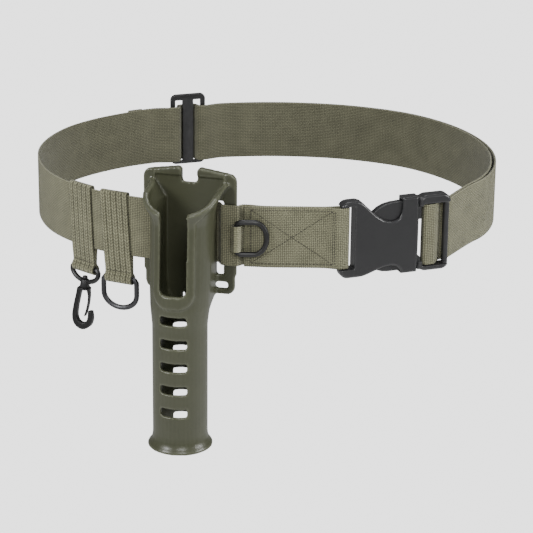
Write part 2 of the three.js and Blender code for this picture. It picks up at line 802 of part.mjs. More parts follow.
// The raised panel round the window, which runs back along the rim on both sides.
function raisedPanel() {
  const { proud, border, below, corner: round } = holder.panel;
  const half = holder.window.width / 2 + border;
  const bottom = holder.window.bottom - below;
  const top = holderRows[0].z;
  const far = rimLine.at(-1)[0];
  const front = toSolid(frontView(roundedRectangle(-half, half, bottom, top, round), far, 0));
  const frontHalf = toSolid(box([-far, far], [-far, -holderRows[0].centre], [bottom - overcut, top]));
  const sides = acrossHolder(panelLine, top);
  const shell = toSolid(sectionStack(holderRowsAt(proud), roundSides));
  return shell.intersect(front.intersect(frontHalf).add(sides));
}

function holderSlots() {
  const { width, height, pitch, first, frontCount, backCount, root } = holder.slot;
  const { centre, radius } = tube;
  const past = radius + 5 * overcut;
  const cuts = [];
  for (let i = 0; i < backCount; i += 1) {
    const middle = first - i * pitch;
    const z = [middle - height / 2, middle + height / 2];
    const x = [-width / 2, width / 2];
    cuts.push(box(x, [-centre, -centre + past], z));
    if (i < frontCount) cuts.push(box(x, [-centre - past, -centre + root], z));
  }
  return join(cuts);
}

function rodHolder() {
  const front = -holder.plate.thickness / 2;
  const far = rimLine.at(-1)[0];
  const top = holderRows[0].z;
  const bottom = holderRows.at(-1).z;
  const ahead = (back) => toSolid(box([-far, far], [-far, back], [bottom - overcut, top + overcut]));
  const outside = toSolid(sectionStack(holderRowsAt(0), roundSides));
  const belowRim = acrossHolder(rimLine, bottom - overcut);
  const walls = outside.add(raisedPanel()).intersect(belowRim).intersect(ahead(front + gap));
  const bore = holderRowsAt(-holder.wall);
  bore[bore.length - 1].z -= overcut;
  const inside = toSolid(sectionStack(bore, roundSides)).intersect(ahead(front));
  const { width, bottom: sill, corner: round } = holder.window;
  const opening = roundedRectangle(-width / 2, width / 2, sill, top + 3 * round, round);
  const window = toSolid(frontView(opening, far, -holderRows[0].centre));
  return holderPlate().add(walls).subtract(inside).subtract(window).subtract(holderSlots());
}

// The buckle

function femaleShape() {
  const { left, earTop, earBottom, collar, cut } = buckle;
  const { ear, top, bottom } = femaleCurve;
  const { middle } = cut;
  const shape = new THREE.Shape();
  shape.moveTo(left, earBottom + ear.height);
  shape.lineTo(left, earTop - ear.height);
  shape.quadraticCurveTo(left, earTop, left + ear.width, earTop);
  shape.lineTo(left + top.shoulder, earTop);
  shape.bezierCurveTo(left + top.sweep, earTop, middle - top.approach, cut.top, middle, cut.top);
  shape.bezierCurveTo(middle + top.leave, cut.top, collar.left, cut.top + top.rise,
    collar.left, collar.top - top.meets);
  shape.lineTo(collar.left, collar.top);
  shape.lineTo(collar.right, collar.top);
  shape.quadraticCurveTo(collar.right + collar.bow, 0, collar.right, collar.bottom);
  shape.lineTo(collar.left, collar.bottom);
  shape.bezierCurveTo(collar.left - bottom.pull, cut.bottom - bottom.drop,
    middle + bottom.leave, cut.bottom, middle, cut.bottom);
  shape.bezierCurveTo(middle - bottom.approach, cut.bottom, left + bottom.sweep, earBottom,
    left + bottom.shoulder, earBottom);
  shape.lineTo(left + ear.width, earBottom);
  shape.quadraticCurveTo(left, earBottom, left, earBottom + ear.height);
  return shape;
}

// A bar that the belt turns round: it stands upright between the ends of its slot.
function strapBar(left, width, thickness, lift, halfHeight) {
  const round = thickness / 2 - barFlat;
  const back = thickness / 2 - lift;
  const section = roundedRectangle(left, left + width, back - thickness, back, round);
  const settings = { depth: 2 * halfHeight, bevelEnabled: false, curveSegments: curveSegments / 2 };
  const geometry = new THREE.ExtrudeGeometry(section, settings);
  return geometry.translate(0, 0, -halfHeight);
}

function femaleBuckle() {
  const { bar, depth, bodyLeft, cavity, collar, bevel, left } = buckle;
  const slotHalf = beltWebbing.width / 2 + slotEnd;
  const body = toSolid(frontView(femaleShape(), depth, depth / 2, bevel));
  const slot = toSolid(box([left - overcut, bodyLeft], [-depth, depth], [-slotHalf, slotHalf]));
  const hollow = toSolid(box(
    [cavity.left, collar.right + collar.bow + overcut],
    [-cavity.depth / 2, cavity.depth / 2],
    [cavity.bottom, cavity.top],
  ));
  const solidBar = toSolid(strapBar(bar.left, bar.width, bar.thickness, 0, slotHalf + overcut));
  return body.subtract(slot).subtract(hollow).add(solidBar);
}

function maleBuckleBody() {
  const { left, right, corner: round, sink, neck, windowLeft } = maleBuckle;
  const { middleBar, outerBar, prongThickness } = maleBuckle;
  const { collar, depth, bevel } = buckle;
  const slotHalf = beltWebbing.width / 2 + slotEnd;
  const outline = roundedRectangle(left, right, collar.bottom, collar.top, round);
  const frame = toSolid(frontView(outline, depth, depth / 2, bevel));
  const squareLeft = toSolid(box([left, left + round], [-depth / 2 + bevel, depth / 2 - bevel],
    [collar.bottom + bevel, collar.top - bevel]));
  const through = [-depth, depth];
  const window = toSolid(box([windowLeft, right + overcut], through, [-slotHalf - sink, slotHalf - sink]));
  const neckGap = toSolid(box([left - overcut, windowLeft + overcut], through, [neck.bottom, neck.top]));
  const bars = [
    strapBar(middleBar.left, middleBar.width, middleBar.thickness, middleBar.lift, slotHalf + overcut),
    strapBar(right - outerBar.width, outerBar.width, outerBar.thickness, 0, slotHalf + overcut),
  ].map((bar) => bar.translate(0, 0, -sink));
  const prongs = prongRows.map((rows) => {
    const points = rows.map(([along, up]) => new THREE.Vector2(along, up));
    return frontView(new THREE.Shape(points), prongThickness, prongThickness / 2);
  });
  return frame.add(squareLeft).subtract(window).subtract(neckGap).add(join(bars)).add(join(prongs));
}

// The tri-glide

function triGlideBody() {
  const { width, height, slotTop, slotBottom, thickness, sideBar, centreBar, corner: round } = triGlide;
  const frame = frontView(roundedRectangle(-width / 2, width / 2, -height / 2, height / 2, round),
    thickness, thickness / 2, triGlide.bevel);
  const slots = [-1, 1].map((side) => {
    const edges = [(side * centreBar) / 2, side * (width / 2 - sideBar)].sort((a, b) => a - b);
    return box(edges, [-thickness, thickness], [slotBottom, slotTop]);
  });
  return toSolid(frame).subtract(join(slots));
}

// The hanging loops

// Round the belt, pinched below it, and rolled round a ring's bar. The route is drawn as
// (inward, up) and closes on itself.
function hangerRoute(barRadius, barZ) {
  const t = hangerWebbing.thickness;
  const middle = -innerOffset;
  const half = beltWebbing.thickness / 2 + hanger.beside + t / 2;
  const crown = beltWebbing.width / 2 + hanger.overTop + t / 2;
  const pinch = (t + gap) / 2;
  const bend = barRadius + hanger.rollClearance + t / 2;
  const rise = bend + hanger.aboveRoll;
  const open = Math.atan2(pinch, rise) + Math.acos(bend / Math.hypot(pinch, rise));
  const steps = hanger.rollSteps;
  const around = Array.from({ length: steps + 1 }, (unused, i) => {
    const angle = Math.PI / 2 + open + ((2 * Math.PI - 2 * open) * i) / steps;
    return corner(new THREE.Vector2(middle + bend * Math.cos(angle), barZ + bend * Math.sin(angle)));
  });
  const side = (sign) => [
    corner(new THREE.Vector2(middle + sign * pinch, barZ + rise), hanger.pinchBend),
    corner(new THREE.Vector2(middle + sign * half, -beltWebbing.width / 2), hanger.shoulderBend),
    corner(new THREE.Vector2(middle + sign * half, crown), t),
  ];
  return [...around, ...side(1), ...side(-1).reverse()];
}

// The part round the belt follows the belt's curve; the roll below it is straight.
function hangerLoop(frame, barRadius, barZ) {
  const path = roundCorners(hangerRoute(barRadius, barZ), true);
  const geometry = standSideways(closedRibbon(path, hangerWebbing, hanger.sections));
  const position = geometry.attributes.position;
  const rollTop = barZ + barRadius + hangerWebbing.thickness;
  for (let i = 0; i < position.count; i += 1) {
    const share = (position.getZ(i) - rollTop) / (-beltWebbing.width / 2 - rollTop);
    const bend = THREE.MathUtils.clamp(share, 0, 1) * curveIn(frame, position.getX(i));
    position.setY(i, position.getY(i) + bend);
  }
  geometry.computeVertexNormals();
  return geometry;
}

// How far the waist curves in from a frame's tangent at a distance along it
function curveIn(frame, s) {
  const guess = planFrame(frame.origin, frame.angle).at(s, 0);
  const bearing = THREE.MathUtils.radToDeg(Math.atan2(guess.y, guess.x));
  const across = waistFrame(bearing).origin.sub(frame.origin);
  return -across.dot(frame.at(0, 1).sub(frame.origin));
}

function barHeight(drop) {
  return -beltWebbing.width / 2 - drop;
}

function wireD(ring) {
  return wireRing(dOutline(ring), ring.wire, ringSegments, ringSides);
}

// The snap hook's eye: a D of wire with a boss below it, bored for the swivel stud.
function snapEye() {
  const middle = bossMiddle();
  const boss = turned([
    [0, middle - swivel.bossHeight / 2],
    [swivel.boss / 2, middle - swivel.bossHeight / 2],
    [swivel.boss / 2 - swivel.bossTaper, middle + swivel.bossHeight / 2],
    [0, middle + swivel.bossHeight / 2],
  ], turnedSides);
  const bore = turned([
    [0, middle - swivel.bossHeight],
    [swivel.stud / 2 + swivel.clearance, middle - swivel.bossHeight],
    [swivel.stud / 2 + swivel.clearance, middle + swivel.bossHeight],
    [0, middle + swivel.bossHeight],
  ], turnedSides);
  return toSolid(wireD(eyeRing)).add(toSolid(boss)).subtract(toSolid(bore));
}

function bossMiddle() {
  return -eyeRing.arm - eyeRing.bowl - swivel.bossDrop;
}

// The hook with its collar and stud; its own origin is on the collar's underside.
function snapHook() {
  const studTop = swivel.collarHeight + swivel.bossHeight + swivel.headGap;
  const stud = turned([
    [0, 0],
    [swivel.collar / 2, 0],
    [swivel.collar / 2, swivel.collarHeight],
    [swivel.stud / 2, swivel.collarHeight],
    [swivel.stud / 2, studTop],
    [swivel.head / 2, studTop],
    [swivel.head / 2 - swivel.headChamfer, studTop + swivel.headHeight],
    [0, studTop + swivel.headHeight],
  ], turnedSides);
  return join([
    stud,
    taperedBar(hookRows, hook.thickness, hook.bevel),
    taperedBar(tongueRows, hook.tongueThickness, 0),
  ]);
}

// The side ring and its tab

const tabWrap = sideRing.wire / 2 + hanger.rollClearance + tabWebbing.thickness / 2;
const ringRest = outerOffset + beltWebbing.thickness / 2 + gap + sideRing.wire / 2;

// The ring's bar stands beside the holder's edge, over the belt where it leaves the plate.
function sideRingBar() {
  const belt = holder.plate.thickness / 2 + hugging + beltWebbing.thickness / 2;
  const s = holder.plate.width / 2 + sideTab.beside;
  return holderFrame.at(s, belt + gap + tabWrap + tabWebbing.thickness / 2);
}

// The ring lies back over the fold-back, whose face its bowl rests on.
function sideRingFrame() {
  const bar = sideRingBar();
  const reach = sideRing.arm + sideRing.bowl;
  const turn = THREE.MathUtils.radToDeg(reach / waist.halfDepth);
  const bearing = THREE.MathUtils.radToDeg(Math.atan2(bar.y, bar.x)) + turn;
  const far = waistFrame(bearing).at(0, ringRest).sub(bar);
  return planFrame(bar, Math.atan2(far.y, far.x));
}

// The tab: its end is sewn round the ring's bar, and the rest lies under the fold-back.
function sideRingTab() {
  const bar = sideRingBar();
  const offset = outerOffset - beltWebbing.thickness / 2 - gap - tabWebbing.thickness / 2;
  const mouth = waistFrame(bearings.foldBackEnd - sideTab.before).at(0, offset);
  const end = waistFrame(bearings.foldBackEnd + sideTab.tail).at(0, offset);
  const start = mouth.clone().sub(bar).setLength(tabWrap).add(bar);
  const wrap = new THREE.Path().absarc(bar.x, bar.y, tabWrap, 0, 2 * Math.PI, false).getPoints(wrapSides);
  return join([
    closedRibbon(wrap.slice(1), tabWebbing, 1),
    ribbon(roundCorners([corner(start), corner(mouth, sideTab.bend), corner(end)]), tabWebbing),
  ]);
}

// The assembly

const finishes = {
  webbing: { color: 0x77755f, roughness: 0.95, metalness: 0 },
  olive: { color: 0x55574a, roughness: 0.55, metalness: 0 },
  black: { color: 0x2b2b2c, roughness: 0.5, metalness: 0 },
  gunmetal: { color: 0x55565a, roughness: 0.35, metalness: 0.9 },
};

function piece(name, shape, finish) {
  const geometry = shape.isBufferGeometry ? shape : toGeometry(shape);
  const mesh = new THREE.Mesh(geometry, new THREE.MeshStandardMaterial(finishes[finish]));
  mesh.name = name;
  return mesh;
}

// A group standing at a plan frame: its X runs along the belt and its -Y out of the waist.
function standAt(frame, height, children) {
  const group = new THREE.Group();
  group.position.set(frame.origin.x, frame.origin.y, height);
  group.rotation.z = frame.angle;
  group.add(...children);
  return group;
}

function hookHanger() {
  const barZ = barHeight(hanger.drop);
  const hookMesh = piece('snap_hook', snapHook(), 'black');
  hookMesh.position.z = bossMiddle() - swivel.bossHeight / 2 - gap - swivel.collarHeight;
  hookMesh.rotation.z = radians(swivel.restTurn);
  const swinging = new THREE.Group();
  swinging.position.set(0, -innerOffset, barZ);
  swinging.rotation.x = -radians(swivel.restSwing);
  swinging.add(piece('snap_eye', snapEye(), 'black'), hookMesh);
  const loop = piece('hanger_hook', hangerLoop(hookLoopFrame, eyeRing.wire / 2, barZ), 'webbing');
  return standAt(hookLoopFrame, 0, [loop, swinging]);
}

function ringHanger() {
  const barZ = barHeight(hanger.ringDrop);
  const ring = piece('d_ring_hanging', wireD(hangingRing), 'gunmetal');
  ring.position.set(0, -innerOffset, barZ);
  const loop = piece('hanger_ring', hangerLoop(ringLoopFrame, hangingRing.wire / 2, barZ), 'webbing');
  return standAt(ringLoopFrame, 0, [loop, ring]);
}

function buildBelt() {
  const belt = new THREE.Group();
  const side = piece('d_ring_side', wireD(sideRing).rotateY(-Math.PI / 2), 'black');
  belt.add(
    piece('belt_webbing', beltStrap(), 'webbing'),
    standAt(holderFrame, 0, [piece('rod_holder', rodHolder(), 'olive')]),
    standAt(buckleFrame, 0, [
      piece('buckle_female', femaleBuckle(), 'black'),
      piece('buckle_male', maleBuckleBody(), 'black'),
    ]),
    standAt(triGlideFrame, triGlide.lift, [piece('tri_glide', triGlideBody(), 'black')]),
    hookHanger(),
    ringHanger(),
    standAt(sideRingFrame(), 0, [side]),
    piece('d_ring_tab', sideRingTab(), 'webbing'),
  );
  return belt;
}

export default buildBelt();
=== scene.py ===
"""The looks of the fishing fighting belt: webbing, moulded plastic, metal, stitching, camera
and light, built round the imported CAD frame. Metres, +Z up, the front of the belt faces -Y."""

import json
import math

import bmesh
import bpy
import numpy as np
from mathutils import Matrix, Vector

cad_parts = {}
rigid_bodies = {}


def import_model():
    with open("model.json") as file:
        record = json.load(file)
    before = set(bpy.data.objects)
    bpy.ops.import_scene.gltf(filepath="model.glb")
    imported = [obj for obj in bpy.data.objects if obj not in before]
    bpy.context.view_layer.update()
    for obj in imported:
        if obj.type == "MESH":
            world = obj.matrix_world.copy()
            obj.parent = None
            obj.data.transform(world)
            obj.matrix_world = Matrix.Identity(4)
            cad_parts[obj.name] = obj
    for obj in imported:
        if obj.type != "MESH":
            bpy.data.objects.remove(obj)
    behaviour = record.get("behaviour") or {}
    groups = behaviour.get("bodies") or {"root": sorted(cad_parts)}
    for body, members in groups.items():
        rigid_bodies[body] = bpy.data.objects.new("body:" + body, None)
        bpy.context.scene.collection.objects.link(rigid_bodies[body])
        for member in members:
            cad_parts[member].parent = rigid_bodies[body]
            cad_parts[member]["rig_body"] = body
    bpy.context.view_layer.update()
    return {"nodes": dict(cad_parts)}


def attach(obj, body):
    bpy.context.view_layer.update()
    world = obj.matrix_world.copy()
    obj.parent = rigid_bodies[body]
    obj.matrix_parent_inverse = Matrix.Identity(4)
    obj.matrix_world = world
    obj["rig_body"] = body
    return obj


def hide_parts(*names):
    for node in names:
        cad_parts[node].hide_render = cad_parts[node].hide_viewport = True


bl_info = {
    "name": "Fishing fighting belt",
    "version": (1, 0, 0),
    "blender": (4, 5, 0),
    "location": "View3D > Sidebar > Fighting Belt",
    "description": "Dresses a waist belt with a rod holder, a buckle, two hanging loops and rings",
    "category": "Object",
}

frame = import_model()

MM = 0.001
COLOUR = {"subtype": "COLOR", "size": 4, "min": 0, "max": 1}

# The webbings: half the width, the thickness, the spans across and how far the edges swell
BELT_HALF = 25 * MM
BELT_THICKNESS = 1.8 * MM
BELT_SPANS = 6
BELT_SCALLOP = 0.22 * MM
LOOP_HALF = 12 * MM
LOOP_THICKNESS = 1.6 * MM
LOOP_SPANS = 8
LOOP_SCALLOP = 0.2 * MM

STEPS_PER_PICK = 3  # stations along the webbing
FINE_STEPS = 4  # points of a smooth curve to one of its even steps
SELVEDGE_TURNS = (60, 20, -20, -60)  # degrees round the webbing's rounded edge
SELVEDGE_REACH = 0.9
SELVEDGE_SHARE = 0.96  # what lies farther out than this share of the width swells

TOUCH = 0.2 * MM  # points this near to a side count as lying on it
ROLL_HEIGHT = 4 * MM  # the lowest part of a hanging loop, which shows how it faces
ARC_SPAN = 2 * MM  # how far in from a loop's side its curve round the waist is read

# How strongly each part of the weave shows, and its scale in waves to a metre
FULLNESS = 0.5  # the power that makes a sine wave as full as a yarn
COLUMN_SHARE = 0.6
UNDER = 0.85  # height of a pick that lies under, where one on top has 1
FIBRE_SCALE = 1500
FIBRE_SHARE = 0.6
CLOUD_SCALE = 70
CLOUD_SHARE = 0.45
INSIDE_LONG = 0.7  # how far the picks on the side that faces the waist join to long rows
CLOTH = {
    "Roughness": 0.9,
    "Sheen Weight": 0.15,
    "Sheen Roughness": 0.5,
    "Specular IOR Level": 0.2,
}
CLOTH_RELIEF = (0.9, 0.4 * MM)  # strength and depth

# The same for moulded surfaces
GRAIN_SCALE = 2600
GRAIN_RELIEF = (0.25, 0.05 * MM)  # strength and depth
STAIN_SCALE = 38
STAIN_LOW = 0.82
STAIN_RANGE = 0.36
# Scuff noise breaks up the paler edges, which are partly wear and partly painted highlight, and varies
# the roughness.
SCUFF_SCALE = 210
SCUFF_GAIN = 1.1
SCUFF_ROUGHNESS = 0.14

# Paler colours for edges that turn out: partly wear, partly a painted highlight along the rims.
OLIVE_WEAR_AND_HIGHLIGHT = (0.12, 0.125, 0.08, 1)
BLACK_WEAR_AND_HIGHLIGHT = (0.05, 0.05, 0.052, 1)
RING_WEAR_AND_HIGHLIGHT = (0.03, 0.03, 0.031, 1)
GUNMETAL = (0.05, 0.05, 0.053, 1)
GUNMETAL_WEAR_AND_HIGHLIGHT = (0.15, 0.15, 0.16, 1)
THREAD = (0.06, 0.058, 0.042, 1)
THREAD_WEAR_AND_HIGHLIGHT = (0.1, 0.1, 0.07, 1)

# Rounded edges, with angles in degrees
FLAT = 0.6  # faces that differ by less are one face
SHARP = 32  # edges that turn by more are rounded
CREASE = 38  # edges that turn by more stay creased
TAB_EDGE = 0.3 * MM
TAB_SHARP = 40
TAB_CREASE = 50
EDGE_WEAR_AND_HIGHLIGHT = 35  # an edge that turns out this much is fully paler, worn and with painted highlight
MOULDED_WEAR_AND_HIGHLIGHT = 30

# The size of each moulded piece's small even faces, and how many times they are smoothed
MOULDED = {
    "rod_holder": (0.95 * MM, 4),
    "buckle_female": (0.55 * MM, 4),
    "buckle_male": (0.55 * MM, 4),
    "snap_hook": (0.3 * MM, 5),
}

# The box stitch in metres: from left to right along X on the front of the belt, and up
CROSS_BOX = (-9.5 * MM, 54.2 * MM, -21.6 * MM, 22.2 * MM)
SECOND_LINE = 1.6 * MM
CROSS_DEPTH = 0.95 * MM  # from the middle of the webbing out to the thread
BAR_HEIGHTS = (6.4 * MM, 9.6 * MM)
BAR_HALF = 10.6 * MM
BAR_DEPTH = 0.85 * MM
STITCH_PITCH = 2.6 * MM
STITCH_SIZE = (1.15 * MM, 0.36 * MM, 0.3 * MM)  # half its length, width and height
STITCH_SINK = 0.1 * MM  # how much deeper the ends of a stitch lie

FLOOR_SIZE = 12
PAPER = (0.8, 0.8, 0.8, 1)
PAPER_ROUGHNESS = 0.9
AIM = Vector((0, 0, -0.03))

# Each lamp's place in metres, watts and diameter
LAMPS = {
    "left": ((-1.4, -1.1, 0.8), 23, 0.6),
    "right": ((1.7, -0.45, 0.6), 26, 0.8),
    "front": ((0.2, -1.9, 1.1), 20, 0.8),
    "top": ((0.1, 0.3, 1.7), 12, 0.9),
}
EYE = Vector((10, -1823.25, 591.11)) * MM
TARGET = Vector((2.322, -4, -76.202)) * MM
ROLL = 0.584  # degrees
SENSOR = 36
FARTHEST = 20


# Settings shown in the sidebar


class WebbingSettings(bpy.types.PropertyGroup):
    light: bpy.props.FloatVectorProperty(
        name="Light yarn",
        description="Colour on top of the yarns",
        default=(0.30, 0.295, 0.19, 1),
        **COLOUR,
    )
    # Painted shade: this colour fills the hollows between the yarns, where the weave lies low.
    dark: bpy.props.FloatVectorProperty(
        name="Shade between yarns",
        description="Colour between the yarns",
        default=(0.035, 0.034, 0.022, 1),
        **COLOUR,
    )
    row: bpy.props.FloatProperty(
        name="Row", description="Width of one row of yarn", default=1.4 * MM, unit="LENGTH"
    )
    pick: bpy.props.FloatProperty(
        name="Pick", description="Length of one pick along the webbing", default=1.5 * MM, unit="LENGTH"
    )
    hook_lean: bpy.props.FloatProperty(
        name="Hook loop's lean",
        description="How far it leans over for each unit of height",
        default=0.045,
    )
    ring_lean: bpy.props.FloatProperty(
        name="Ring loop's lean",
        description="How far it leans over for each unit of height",
        default=0.055,
    )


class PlasticSettings(bpy.types.PropertyGroup):
    olive: bpy.props.FloatVectorProperty(
        name="Olive", description="Colour of the rod holder", default=(0.056, 0.059, 0.034, 1), **COLOUR
    )
    black: bpy.props.FloatVectorProperty(
        name="Black", description="Colour of the buckle", default=(0.021, 0.021, 0.022, 1), **COLOUR
    )
    ring: bpy.props.FloatVectorProperty(
        name="Ring",
        description="Colour of the ring, the hook and the tri-glide",
        default=(0.004, 0.004, 0.004, 1),
        **COLOUR,
    )
    edge: bpy.props.FloatProperty(
        name="Edge", description="Width of the rounded edges", default=0.55 * MM, unit="LENGTH"
    )


class StageSettings(bpy.types.PropertyGroup):
    lens: bpy.props.FloatProperty(
        name="Lens", description="Focal length of the camera", default=155.09, unit="CAMERA"
    )
    drop: bpy.props.FloatProperty(
        name="Drop", description="Height of the floor", default=-0.6, unit="LENGTH"
    )
    ambient: bpy.props.FloatProperty(
        name="Ambient", description="Strength of the light from all round", default=0.2, min=0
    )
    white: bpy.props.FloatProperty(
        name="White",
        description="How bright the camera sees the floor and the backdrop",
        default=2.5,
        min=0,
    )


# Meshes


def deselect():
    for item in bpy.context.selected_objects:
        item.select_set(False)


def activate(piece):
    deselect()
    piece.select_set(True)
    bpy.context.view_layer.objects.active = piece


def new_piece(name, mesh):
    piece = bpy.data.objects.new(name, mesh)
    bpy.context.scene.collection.objects.link(piece)
    return piece


def merged(node):
    """A node's mesh with its split corners joined, as a bmesh."""
    work = bmesh.new()
    work.from_mesh(frame["nodes"][node].data)
    bmesh.ops.remove_doubles(work, verts=work.verts, dist=1e-6)
    bmesh.ops.recalc_face_normals(work, faces=work.faces)
    return work


def to_piece(work, name):
    mesh = bpy.data.meshes.new(name)
    work.to_mesh(mesh)
    work.free()
    return new_piece(name, mesh)


def mount(piece, node, material):
    """The piece stands for the node, rides on its body and wears a material."""
    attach(piece, frame["nodes"][node]["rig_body"])
    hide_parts(node)
    piece.data.materials.clear()
    piece.data.materials.append(material)
    return piece


# Straps: a grid of points down the middle of the webbing, one row across at each station


def rim_loops(work, on_side):
    """The closed outlines of a flat side of a mesh, as lists of points."""
    side = {f for f in work.faces if all(on_side(v.co) for v in f.verts)}
    rim = [e for e in work.edges if sum(f in side for f in e.link_faces) == 1]
    follow = {}
    for edge in rim:
        for vert in edge.verts:
            follow.setdefault(vert, []).append(edge.other_vert(vert))
    loops = []
    while follow:
        start = next(iter(follow))
        loop, last, here = [start], start, follow[start][0]
        while here is not start:
            loop.append(here)
            ahead = [v for v in follow[here] if v is not last]
            last, here = here, ahead[0]
        for vert in loop:
            del follow[vert]
        loops.append(np.array([tuple(v.co) for v in loop]))
    return loops


def belt_rows():
    """The middle line of the belt's upper edge: pairs of points across its thickness."""
    work = merged("belt_webbing")
    points = max(rim_loops(work, lambda co: co.z > 0), key=len)
    work.free()
    count = len(points) // 2
    spread = []
    for turn in range(len(points)):
        rolled = np.roll(points, -turn, axis=0)
        apart = (rolled[:count] - rolled[::-1][:count])[:, :2]
        spread.append(np.ptp(np.linalg.norm(apart, axis=1)))
    rolled = np.roll(points, -int(np.argmin(spread)), axis=0)
    return (rolled[:count] + rolled[::-1][:count]) / 2


def hanger_rows(node, thickness):
    """A hanging loop as (path in out and up, along, out, middle, bow): the path is the middle of
    its webbing, and bow says how much the sides of the webbing curve in round the waist."""
    work = merged(node)
    points = np.array([tuple(v.co) for v in work.verts])
    low = points[points[:, 2] < points[:, 2].min() + ROLL_HEIGHT][:, :2]
    along = np.linalg.svd(low - low.mean(0))[2][0]
    along *= np.sign(along[0])
    out = np.array([along[1], -along[0]])
    middle = (low.mean(0) @ along) * along
    shares = points[:, :2] @ along - middle @ along
    side = shares.max()
    inner = shares[(shares > 0) & (shares < side - ARC_SPAN)].max()
    depth = points[:, :2] @ out
    at = [depth[abs(shares - share) < TOUCH].mean() for share in (side, inner)]
    bow = (at[0] - at[1]) / (side**2 - inner**2)
    line = Vector((*along, 0))
    edge = side + middle @ along
    loops = rim_loops(work, lambda co: abs(co.dot(line) - edge) < TOUCH)
    work.free()
    outline = max(loops, key=lambda loop: np.ptp(loop[:, 2]))
    path = np.column_stack([outline[:, :2] @ out - bow * side**2, outline[:, 2]])
    turn = np.roll(path, -1, axis=0)
    if np.sum(path[:, 0] * turn[:, 1] - turn[:, 0] * path[:, 1]) < 0:
        path = path[::-1]
    path = path - normals_of(path, True) * thickness / 2
    return path, Vector((*along, 0)), Vector((*out, 0)), Vector((*middle, 0)), bow


def hanger_leans():
    """The two hanging loops, each with how far it leans over for a unit of height."""
    settings = bpy.context.scene.belt_webbing_settings
    return (("hanger_hook", settings.hook_lean), ("hanger_ring", settings.ring_lean))


def hanger_point(loop, lean, across, depth, height):
    """A point of a hanging loop, which leans over from its lower end up."""
    path, along, out, middle, bow = loop
    aside = across - lean * (height - path[:, 1].min())
    return middle + along * aside + out * (depth + bow * across**2) + Vector((0, 0, height))


def resample(points, step, closed=False):
    """Even steps along a smooth curve through the points, which may be in 2 or 3 dimensions."""
    points = np.asarray(points, float)
    if closed:
        points = np.vstack([points[-2:], points, points[:3]])
    else:
        points = np.vstack([2 * points[0] - points[1], points, 2 * points[-1] - points[-2]])
    roots = np.sqrt(np.linalg.norm(np.diff(points, axis=0), axis=1))
    knots = np.concatenate([[0], np.cumsum(roots)])
    dense = []
    first, last = (2, len(points) - 3) if closed else (1, len(points) - 2)
    for i in range(first, last):
        p0, p1, p2, p3 = points[i - 1 : i + 3]
        t0, t1, t2, t3 = knots[i - 1 : i + 3]
        count = max(2, int(np.linalg.norm(p2 - p1) / (step / FINE_STEPS)))
        for t in np.linspace(t1, t2, count, endpoint=False):
            a1 = (t1 - t) / (t1 - t0) * p0 + (t - t0) / (t1 - t0) * p1
            a2 = (t2 - t) / (t2 - t1) * p1 + (t - t1) / (t2 - t1) * p2
            a3 = (t3 - t) / (t3 - t2) * p2 + (t - t2) / (t3 - t2) * p3
            b1 = (t2 - t) / (t2 - t0) * a1 + (t - t0) / (t2 - t0) * a2
            b2 = (t3 - t) / (t3 - t1) * a2 + (t - t1) / (t3 - t1) * a3
            dense.append((t2 - t) / (t2 - t1) * b1 + (t - t1) / (t2 - t1) * b2)
    dense.append(points[last])
    dense = np.array(dense)
    steps = np.linalg.norm(np.diff(dense, axis=0), axis=1)
    length = np.concatenate([[0], np.cumsum(steps)])
    count = max(2, int(round(length[-1] / step)))
    wanted = np.linspace(0, length[-1], count + 1)
    even = np.column_stack([np.interp(wanted, length, dense[:, k]) for k in range(dense.shape[1])])
    return (even[:-1] if closed else even), length[-1]


def profile(half_width, thickness, spans):
    """Points round the webbing's section, as (across, out), with rounded selvedges."""
    half = thickness / 2
    flat = half_width - half
    across = np.linspace(-flat, flat, spans + 1)
    turn = np.radians(SELVEDGE_TURNS)
    right = [(flat + half * math.cos(a) * SELVEDGE_REACH, half * math.sin(a)) for a in turn]
    left = [(-x, -y) for x, y in right]
    return [(x, half) for x in across] + right + [(x, -half) for x in across[::-1]] + left


def strap_mesh(name, stations, section, length, closed, scallop, bow=None):
    """Sweeps a section along stations that each have a middle, an across and an outward vector.
    The selvedges swell once a pick, and bow curves the section. The attribute made here is 1 on the
    side that faces the waist, where the webbing material paints shade and long rows."""
    work = bmesh.new()
    rings = []
    widest = max(x for x, y in section)
    facing_in = []
    for i, (centre, side, out) in enumerate(stations):
        grow = 1 + scallop / widest * (1 if i % STEPS_PER_PICK == 0 else -0.5)
        ring = []
        inward = -1 if out.dot(centre) > 0 else 1
        facing_in += [1.0 if inward * y > 0 else 0.0 for x, y in section]
        for x, y in section:
            swollen = x * grow if abs(x) > SELVEDGE_SHARE * widest else x
            point = centre + side * swollen + out * y
            ring.append(work.verts.new(point + bow * x**2 if bow else point))
        rings.append(ring)
    count = len(rings)
    layer = work.loops.layers.uv.new("strap")
    step = length / (count if closed else count - 1)
    size = len(section)
    for i in range(count if closed else count - 1):
        for k in range(size):
            n = (k + 1) % size
            j = (i + 1) % count
            face = work.faces.new((rings[i][k], rings[i][n], rings[j][n], rings[j][k]))
            face.smooth = True
            for loop, (u, v) in zip(face.loops, ((i, k), (i, n), (i + 1, n), (i + 1, k))):
                loop[layer].uv = (u * step, section[v][0])
    if not closed:
        for ring in (rings[0], rings[-1][::-1]):
            face = work.faces.new(ring[::-1])
            for loop in face.loops:
                loop[layer].uv = (0, 0)
    bmesh.ops.recalc_face_normals(work, faces=work.faces)
    piece = to_piece(work, name)
    piece.data.attributes.new("waist_side_shade", "FLOAT", "POINT").data.foreach_set("value", facing_in)
    return piece


